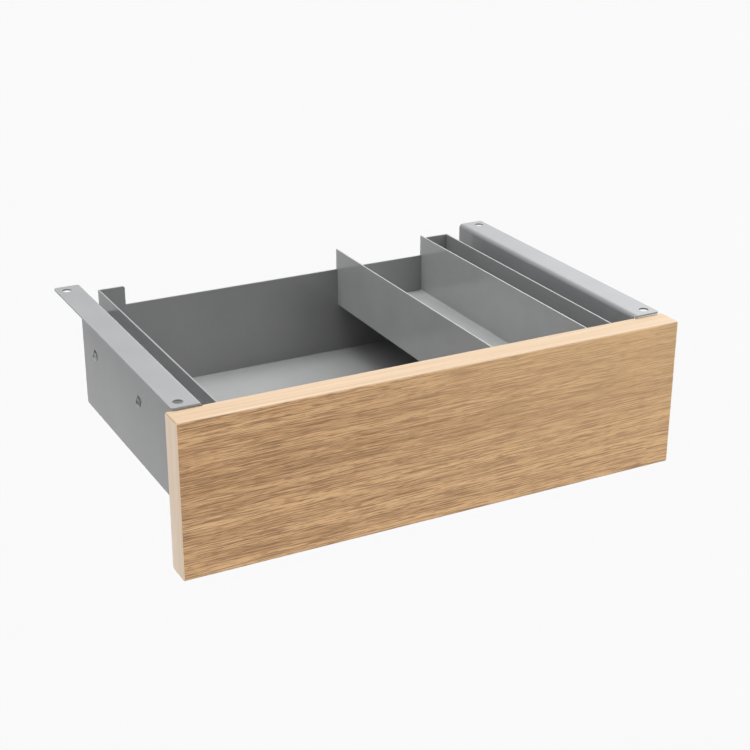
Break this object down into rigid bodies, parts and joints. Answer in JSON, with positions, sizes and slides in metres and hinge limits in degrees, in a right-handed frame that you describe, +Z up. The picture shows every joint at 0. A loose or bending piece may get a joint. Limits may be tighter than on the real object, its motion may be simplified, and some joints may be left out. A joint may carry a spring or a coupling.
{
  "type": "under desk drawer",
  "caption": "Shallow steel drawer with an oak veneer front, hung under a desk from folded brackets on ball bearing slides, with a sliding tray inside.",
  "frame": {"origin": "centre of the four desk screw holes, on the plane where the bracket flanges meet the desk's underside", "axes": "+X to the user's right along the front panel, +Y to the rear, +Z up into the desk"},
  "size_m": [0.381, 0.265, 0.1129],
  "materials": {
    "oak_face": "oiled oak veneer, horizontal grain",
    "oak_edge": "pale oak edge band",
    "board": "particle board",
    "bracket_coat": "satin powder coat, light grey",
    "box_coat": "satin powder coat, grey",
    "tray_coat": "satin powder coat, grey",
    "zinc": "bright zinc plate",
    "cage_steel": "plain rolled steel",
    "ball_steel": "polished steel, thin grease",
    "screw_zinc": "zinc-plated steel",
    "black_plastic": "moulded acetal"
  },
  "bodies": {
    "desk_frame": {"bracket_left": "bracket_coat", "bracket_right": "bracket_coat", "slide_outer_left": "zinc", "slide_outer_right": "zinc", "slide_bumper_left": "black_plastic", "slide_bumper_right": "black_plastic", "bracket_screws": "screw_zinc"},
    "drawer": {"drawer_pan": "box_coat", "drawer_back": "box_coat", "drawer_front_plate": "box_coat", "panel_core": "board", "front_veneer": "oak_face", "back_veneer": "oak_face", "edge_band_top": "oak_edge", "edge_band_bottom": "oak_edge", "edge_band_left": "oak_edge", "edge_band_right": "oak_edge", "slide_inner_left": "zinc", "slide_inner_right": "zinc", "drawer_screws": "screw_zinc", "panel_screws": "screw_zinc", "lever_rivets": "screw_zinc"},
    "tray": {"tray": "tray_coat"},
    "slide_mid_left": {"slide_mid_left": "zinc"},
    "cage_outer_left": {"cage_outer_left": "cage_steel", "balls_outer_left": "ball_steel"},
    "cage_inner_left": {"cage_inner_left": "cage_steel", "balls_inner_left": "ball_steel"},
    "release_lever_left": {"release_lever_left": "black_plastic"},
    "slide_mid_right": {"slide_mid_right": "zinc"},
    "cage_outer_right": {"cage_outer_right": "cage_steel", "balls_outer_right": "ball_steel"},
    "cage_inner_right": {"cage_inner_right": "cage_steel", "balls_inner_right": "ball_steel"},
    "release_lever_right": {"release_lever_right": "black_plastic"}
  },
  "joints": [
    {"name": "drawer_slide", "type": "slide", "parent": "desk_frame", "child": "drawer", "axis": [0, -1, 0], "range_m": [0, 0.25]},
    {"name": "tray_slide", "type": "slide", "parent": "drawer", "child": "tray", "axis": [-1, 0, 0], "range_m": [-0.0029, 0.1806]},
    {"name": "slide_mid_left_travel", "type": "slide", "parent": "desk_frame", "child": "slide_mid_left", "axis": [0, -1, 0], "range_m": [0, 0.125]},
    {"name": "cage_outer_left_travel", "type": "slide", "parent": "desk_frame", "child": "cage_outer_left", "axis": [0, -1, 0], "range_m": [0, 0.0625]},
    {"name": "cage_inner_left_travel", "type": "slide", "parent": "desk_frame", "child": "cage_inner_left", "axis": [0, -1, 0], "range_m": [0, 0.1875]},
    {"name": "release_lever_left_turn", "type": "hinge", "parent": "drawer", "child": "release_lever_left", "pos_m": [-0.1556, -0.045, -0.0478], "axis": [1, 0, 0], "range_deg": [0, 6], "stiffness_Nm_per_rad": 0.02, "springref_deg": -5.73},
    {"name": "slide_mid_right_travel", "type": "slide", "parent": "desk_frame", "child": "slide_mid_right", "axis": [0, -1, 0], "range_m": [0, 0.125]},
    {"name": "cage_outer_right_travel", "type": "slide", "parent": "desk_frame", "child": "cage_outer_right", "axis": [0, -1, 0], "range_m": [0, 0.0625]},
    {"name": "cage_inner_right_travel", "type": "slide", "parent": "desk_frame", "child": "cage_inner_right", "axis": [0, -1, 0], "range_m": [0, 0.1875]},
    {"name": "release_lever_right_turn", "type": "hinge", "parent": "drawer", "child": "release_lever_right", "pos_m": [0.1556, -0.045, -0.0478], "axis": [1, 0, 0], "range_deg": [0, 6], "stiffness_Nm_per_rad": 0.02, "springref_deg": -5.73}
  ],
  "couplings": [
    {"joint": "slide_mid_left_travel", "follows": "drawer_slide", "ratio": 0.5},
    {"joint": "cage_outer_left_travel", "follows": "drawer_slide", "ratio": 0.25},
    {"joint": "cage_inner_left_travel", "follows": "drawer_slide", "ratio": 0.75},
    {"joint": "slide_mid_right_travel", "follows": "drawer_slide", "ratio": 0.5},
    {"joint": "cage_outer_right_travel", "follows": "drawer_slide", "ratio": 0.25},
    {"joint": "cage_inner_right_travel", "follows": "drawer_slide", "ratio": 0.75}
  ]
}
